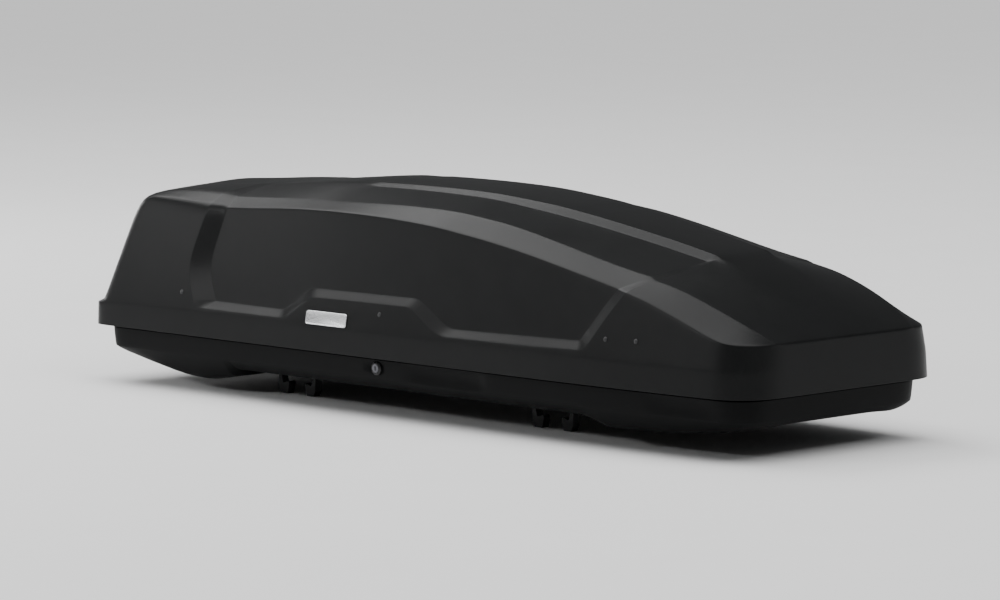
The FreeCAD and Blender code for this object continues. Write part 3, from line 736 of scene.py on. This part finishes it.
def make_spring(x, side):
    """Torsion coil around the lifter's pin."""
    steps = int(SPRING_TURNS * TURN_STEPS)
    loops = []
    for i in range(steps + 1):
        t = i / steps
        a = math.tau * SPRING_TURNS * t
        centre_x = mix(SPRING_START + WIRE_RADIUS, SPRING_END - WIRE_RADIUS, t)
        out = Vector((0.0, math.cos(a), math.sin(a)))
        middle = Vector((x + centre_x, side * SPRING_Y, SPRING_Z)) + out * SPRING_RADIUS
        loop = []
        for k in range(WIRE_STEPS):
            b = math.tau * k / WIRE_STEPS
            across = Vector((1.0, 0.0, 0.0)) * math.cos(b) + out * math.sin(b)
            loop.append(middle + across * WIRE_RADIUS)
        loops.append(loop)
    return loops_object("spring", loops, True)


def squared(value, power):
    """The size of the value to a power, with the value's sign."""
    return math.copysign(abs(value) ** power, value)


def make_knob(x, side):
    """Turning knob: a ridged disc with a hub and a grip bar across it."""
    steps = KNOB_RIDGES * RIDGE_STEPS
    loops = []
    for share, height in KNOB_SECTION:
        loop = []
        for i in range(steps):
            a = math.tau * i / steps
            wave = 0.5 - 0.5 * math.cos(KNOB_RIDGES * a)
            ridge = RIDGE_DEPTH * wave if share > RIDGED_SHARE else 0.0
            radius = max(KNOB_TIP_RADIUS, share * KNOB_RADIUS - ridge)
            loop.append(Vector((x + radius * math.cos(a), side * KNOB_Y + radius * math.sin(a),
                                KNOB_FOOT + height)))
        loops.append(loop)
    disc = loops_object("disc", loops, True)
    loops = []
    for share, height in GRIP_SECTION:
        loop = []
        for i in range(GRIP_STEPS):
            a = math.tau * i / GRIP_STEPS
            reach_x = squared(math.cos(a), GRIP_END_POWER) * GRIP_HALF_LONG * share
            reach_y = squared(math.sin(a), GRIP_SIDE_POWER) * GRIP_HALF_WIDE * share
            loop.append(Vector((x + reach_x, side * KNOB_Y + reach_y, KNOB_FOOT + height)))
        loops.append(loop)
    grip = loops_object("grip", loops, True)
    knob = join_objects("clamp_knob_grip", [disc, grip])
    knob.data.set_sharp_from_angle(angle=math.radians(KNOB_SHARP_ANGLE))
    return knob


# ---------------------------------------------------------------- materials
# Scales are in features a metre; a swing is how far the roughness varies either way.
NOISE_ROUGHNESS = 0.55
MIDDLE_RANGE = (0.3, 0.7)
MOTTLE_SCALE = 14.0
FINE_SCALE = 420.0
PLASTIC_SWING = 0.015
TARNISH_SCALE = 22.0
METAL_SWING = 0.07
LINE_DEPTH = 0.03                # depth of the drawn lines, as a share of their width


def node_tree(name):
    mat = bpy.data.materials.new(name)
    mat.use_nodes = True
    tree = mat.node_tree
    shader = tree.nodes["Principled BSDF"]
    return mat, tree, shader


def link(tree, a, out, b, into):
    tree.links.new(a.outputs[out], b.inputs[into])


def noise(tree, coords, scale, detail=3.0):
    """Noise texture of this many features a metre."""
    n = tree.nodes.new("ShaderNodeTexNoise")
    n.inputs["Scale"].default_value = scale
    n.inputs["Detail"].default_value = detail
    n.inputs["Roughness"].default_value = NOISE_ROUGHNESS
    link(tree, coords, "Object", n, "Vector")
    return n


def spread(tree, source, out, low, high):
    """The source's middle range, stretched to run from low to high."""
    r = tree.nodes.new("ShaderNodeMapRange")
    r.inputs["From Min"].default_value = MIDDLE_RANGE[0]
    r.inputs["From Max"].default_value = MIDDLE_RANGE[1]
    r.inputs["To Min"].default_value = low
    r.inputs["To Max"].default_value = high
    link(tree, source, out, r, "Value")
    return r


def plastic(name, colour, lighter, rough, grain, depth, specular):
    """Moulded plastic: pebbled grain, slight mottling, and roughness that varies a little."""
    mat, tree, shader = node_tree(name)
    coords = tree.nodes.new("ShaderNodeTexCoord")
    cloud = noise(tree, coords, MOTTLE_SCALE)
    fine = noise(tree, coords, FINE_SCALE, 2.0)
    pebble = tree.nodes.new("ShaderNodeTexVoronoi")
    pebble.inputs["Scale"].default_value = grain
    link(tree, coords, "Object", pebble, "Vector")
    tint = tree.nodes.new("ShaderNodeMix")
    tint.data_type = "RGBA"
    tint.inputs["A"].default_value = (*colour, 1)
    tint.inputs["B"].default_value = (*lighter, 1)
    both = tree.nodes.new("ShaderNodeMath")
    both.operation = "MULTIPLY_ADD"
    both.inputs[1].default_value = 0.5
    link(tree, fine, "Fac", both, 0)
    half = tree.nodes.new("ShaderNodeMath")
    half.operation = "MULTIPLY"
    half.inputs[1].default_value = 0.5
    link(tree, cloud, "Fac", half, 0)
    link(tree, half, "Value", both, 2)
    tint_range = spread(tree, both, "Value", 0.0, 1.0)
    link(tree, tint_range, "Result", tint, "Factor")
    link(tree, tint, "Result", shader, "Base Color")
    polish = spread(tree, cloud, "Fac", rough - PLASTIC_SWING, rough + PLASTIC_SWING)
    link(tree, polish, "Result", shader, "Roughness")
    height = tree.nodes.new("ShaderNodeMath")
    height.operation = "ADD"
    link(tree, pebble, "Distance", height, 0)
    link(tree, fine, "Fac", height, 1)
    bump = tree.nodes.new("ShaderNodeBump")
    bump.inputs["Strength"].default_value = 0.5
    bump.inputs["Distance"].default_value = depth
    link(tree, height, "Value", bump, "Height")
    link(tree, bump, "Normal", shader, "Normal")
    shader.inputs["Specular IOR Level"].default_value = specular
    return mat


def metal(name, colour, darker, rough, metallic, stretch, fineness):
    """Metal or its finish: fine noise, drawn into lines where x is stretched, and cloudy tarnish."""
    mat, tree, shader = node_tree(name)
    coords = tree.nodes.new("ShaderNodeTexCoord")
    mapping = tree.nodes.new("ShaderNodeMapping")
    mapping.inputs["Scale"].default_value = stretch
    link(tree, coords, "Object", mapping, "Vector")
    lines = tree.nodes.new("ShaderNodeTexNoise")
    lines.inputs["Scale"].default_value = fineness
    lines.inputs["Detail"].default_value = 4.0
    link(tree, mapping, "Vector", lines, "Vector")
    cloud = noise(tree, coords, TARNISH_SCALE)
    tint = tree.nodes.new("ShaderNodeMix")
    tint.data_type = "RGBA"
    tint.inputs["A"].default_value = (*darker, 1)
    tint.inputs["B"].default_value = (*colour, 1)
    link(tree, spread(tree, cloud, "Fac", 0.0, 1.0), "Result", tint, "Factor")
    link(tree, tint, "Result", shader, "Base Color")
    polish = spread(tree, lines, "Fac", rough - METAL_SWING, rough + METAL_SWING)
    link(tree, polish, "Result", shader, "Roughness")
    bump = tree.nodes.new("ShaderNodeBump")
    bump.inputs["Strength"].default_value = 0.2
    bump.inputs["Distance"].default_value = LINE_DEPTH / fineness
    link(tree, lines, "Fac", bump, "Height")
    link(tree, bump, "Normal", shader, "Normal")
    shader.inputs["Metallic"].default_value = metallic
    return mat


# Plastics, as (colour, lighter colour, roughness, grains a metre, grain depth, specular level).
PLASTICS = {
    "shell_black": ((0.0048, 0.0051, 0.0053), (0.0068, 0.0072, 0.0074), 0.36, 900.0, 0.0002, 0.15),
    # base_black is coloured darker than the lid's plastic: painted shade that stands in for the dark
    # reflection under the box.
    "base_black": ((0.0028, 0.0030, 0.0032), (0.0044, 0.0047, 0.0049), 0.48, 700.0, 0.0003, 0.08),
    "trim_black": ((0.010, 0.010, 0.011), (0.016, 0.016, 0.017), 0.38, 1200.0, 0.0001, 0.35),
    "catch_plastic": ((0.018, 0.018, 0.020), (0.030, 0.030, 0.032), 0.45, 1100.0, 0.00015, 0.35),
    "knob_grey": ((0.14, 0.15, 0.16), (0.18, 0.19, 0.20), 0.40, 1100.0, 0.00015, 0.5),
    "jaw_black": ((0.010, 0.010, 0.011), (0.018, 0.018, 0.019), 0.52, 800.0, 0.00025, 0.35),
    "pad_rubber": ((0.020, 0.020, 0.020), (0.034, 0.034, 0.034), 0.80, 600.0, 0.0003, 0.2),
}
EVEN = (1.0, 1.0, 1.0)
# Metals and black-coated metals, as (colour, darker colour, roughness, metallic, stretch, fineness).
METALS = {
    "rivet_black": ((0.012, 0.012, 0.013), (0.008, 0.008, 0.009), 0.50, 0.0, EVEN, 300.0),
    "steel_black": ((0.040, 0.040, 0.042), (0.026, 0.026, 0.028), 0.40, 0.0, EVEN, 300.0),
    "steel_zinc": ((0.62, 0.62, 0.60), (0.48, 0.48, 0.45), 0.32, 1.0, EVEN, 300.0),
    "spring_steel": ((0.36, 0.36, 0.37), (0.26, 0.26, 0.27), 0.28, 1.0, EVEN, 300.0),
    "aluminium": ((0.72, 0.73, 0.74), (0.66, 0.67, 0.68), 0.34, 1.0, (0.03, 1.0, 1.0), 1500.0),
    "lock_chrome": ((0.13, 0.13, 0.14), (0.09, 0.09, 0.10), 0.34, 1.0, EVEN, 300.0),
    "badge_silver": ((0.82, 0.83, 0.84), (0.78, 0.79, 0.80), 0.30, 1.0, (0.05, 1.0, 1.0), 2500.0),
}
MATERIALS = {name: plastic(name, *look) for name, look in PLASTICS.items()}
MATERIALS.update({name: metal(name, *look) for name, look in METALS.items()})


def finish_piece(obj, body, slot, replaced):
    """Give a new piece the material of its slot and its body, and hide the CAD node that it stands for.
    """
    obj.data.materials.append(MATERIALS[slot])
    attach(obj, body)
    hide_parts(replaced)


# ---------------------------------------------------------------- build
SHARP_ANGLE = 35
FLAT_ANGLE = 1.0
NODE_ROUND = 0.0006
ROUNDED_ANGLE = 40.0
REPLACED_SHELLS = ("lid_shell", "base_shell")

# The CAD nodes get their finish, and small rounds on their sharp edges.
for part in record["subparts"]:
    node = nodes[part["node"]]
    node.data.materials.clear()
    node.data.materials.append(MATERIALS[part["material_slot"]])
    for poly in node.data.polygons:
        poly.use_smooth = True
    node.data.set_sharp_from_angle(angle=math.radians(SHARP_ANGLE))
    if part["node"] not in REPLACED_SHELLS:
        flat = node.modifiers.new("flat", "DECIMATE")
        flat.decimate_type = "DISSOLVE"
        flat.angle_limit = math.radians(FLAT_ANGLE)
        soften(node, NODE_ROUND, ROUNDED_ANGLE)

finish_piece(make_lid(), "lid", "shell_black", "lid_shell")
# The base gets the plastic that is painted darker, as shade standing in for the dark reflection under
# the box.
finish_piece(make_base(), "base", "base_black", "base_shell")

coils = []
for rear_x, front_x, side in SPRINGS:
    coils += [make_spring(rear_x, side), make_spring(front_x, side)]
finish_piece(join_objects("lifter_spring_coils", coils), "base", "spring_steel", "lifter_springs")
for word, side in (("left", 1), ("right", -1)):
    bezel = make_bezel(side)
    bezel.name = "lock_bezel_ring_" + word
    finish_piece(bezel, "base", "trim_black", "lock_bezel_" + word)
    badge = make_badge(side)
    badge.name = "badge_plate_" + word
    soften(badge, 0.0002, 30.0)
    finish_piece(badge, "lid", "badge_silver", "badge_" + word)
    for end, clamp_x in zip(("front", "rear"), CLAMPS):
        knob = make_knob(clamp_x, side)
        knob.name = "clamp_knob_grip_%s_%s" % (end, word)
        finish_piece(knob, "knob_%s_%s" % (end, word), "knob_grey", "clamp_knob_%s_%s" % (end, word))

# ---------------------------------------------------------------- stage, light, camera
FLOOR_SIZE = 30.0
FLOOR_GAP = 0.0005               # the floor lies this far below the lowest point
floor_mesh = bpy.data.meshes.new("floor")
bm = bmesh.new()
bmesh.ops.create_grid(bm, x_segments=8, y_segments=8, size=FLOOR_SIZE)
bm.to_mesh(floor_mesh)
bm.free()
floor = bpy.data.objects.new("floor", floor_mesh)
bpy.context.scene.collection.objects.link(floor)
floor.location = (0.0, 0.0, cad_box[0].z - FLOOR_GAP)
floor_mat, floor_tree, floor_shader = node_tree("floor")
floor_coords = floor_tree.nodes.new("ShaderNodeTexCoord")
floor_cloud = noise(floor_tree, floor_coords, 3.0)
floor_tint = floor_tree.nodes.new("ShaderNodeMix")
floor_tint.data_type = "RGBA"
floor_tint.inputs["A"].default_value = (0.80, 0.80, 0.80, 1)
floor_tint.inputs["B"].default_value = (0.83, 0.83, 0.83, 1)
link(floor_tree, floor_cloud, "Fac", floor_tint, "Factor")
link(floor_tree, floor_tint, "Result", floor_shader, "Base Color")
floor_shader.inputs["Roughness"].default_value = 0.85
floor.data.materials.append(floor_mat)


def area_light(name, place, size, power, target):
    """Rectangular soft light that faces its target."""
    data = bpy.data.lights.new(name, "AREA")
    data.shape = "RECTANGLE"
    data.size, data.size_y = size
    data.energy = power
    lamp = bpy.data.objects.new(name, data)
    bpy.context.scene.collection.objects.link(lamp)
    lamp.location = place
    lamp.rotation_mode = "QUATERNION"
    lamp.rotation_quaternion = (Vector(target) - Vector(place)).to_track_quat("-Z", "Y")


# Two large panels overhead, a low one behind the tail, and two small ones on the tail and side.
area_light("rear_panel", (-5.2, -0.5, 6.2), (6.4, 3.6), 370.0, (0.0, 0.0, 0.3))
area_light("tail_panel", (-1.80, -1.25, 0.68), (0.6, 0.4), 3.0, (-0.8, -0.3, 0.3))
area_light("side_panel", (-1.96, -4.29, 2.25), (0.8, 0.5), 45.0, (-0.6, -0.3, 0.22))
area_light("front_panel", (5.2, 0.5, 6.2), (6.4, 3.6), 200.0, (0.0, 0.0, 0.3))
area_light("low_panel", (-5.0, 0.1, 1.15), (1.6, 0.8), 30.0, (0.0, 0.0, 0.25))

# A very wide sun stands for a soft sky.
sun_data = bpy.data.lights.new("soft_sky", "SUN")
sun_data.energy = 2.8
sun_data.angle = math.radians(60)
sun = bpy.data.objects.new("soft_sky", sun_data)
bpy.context.scene.collection.objects.link(sun)
sun.rotation_mode = "QUATERNION"
sun.rotation_quaternion = Vector((0.05, 0.10, -1.0)).to_track_quat("-Z", "Y")

world = bpy.data.worlds.new("studio")
bpy.context.scene.world = world
world.use_nodes = True
world.node_tree.nodes["Background"].inputs["Color"].default_value = (0.90, 0.91, 0.92, 1)
world.node_tree.nodes["Background"].inputs["Strength"].default_value = 0.15

# The camera, at the photograph's viewing angle and framing.
CAMERA_PLACE = Vector((6.729, -6.691, 1.262))
AIM_HEIGHT = 0.2243
LENS = 166.0
camera_data = bpy.data.cameras.new("camera")
camera_data.sensor_width = 36.0
camera_data.lens = LENS
camera_data.clip_end = 200.0
camera = bpy.data.objects.new("camera", camera_data)
bpy.context.scene.collection.objects.link(camera)
camera.location = CAMERA_PLACE
camera.rotation_mode = "QUATERNION"
camera.rotation_quaternion = (Vector((0.0, 0.0, AIM_HEIGHT)) - CAMERA_PLACE).to_track_quat("-Z", "Y")
bpy.context.scene.camera = camera
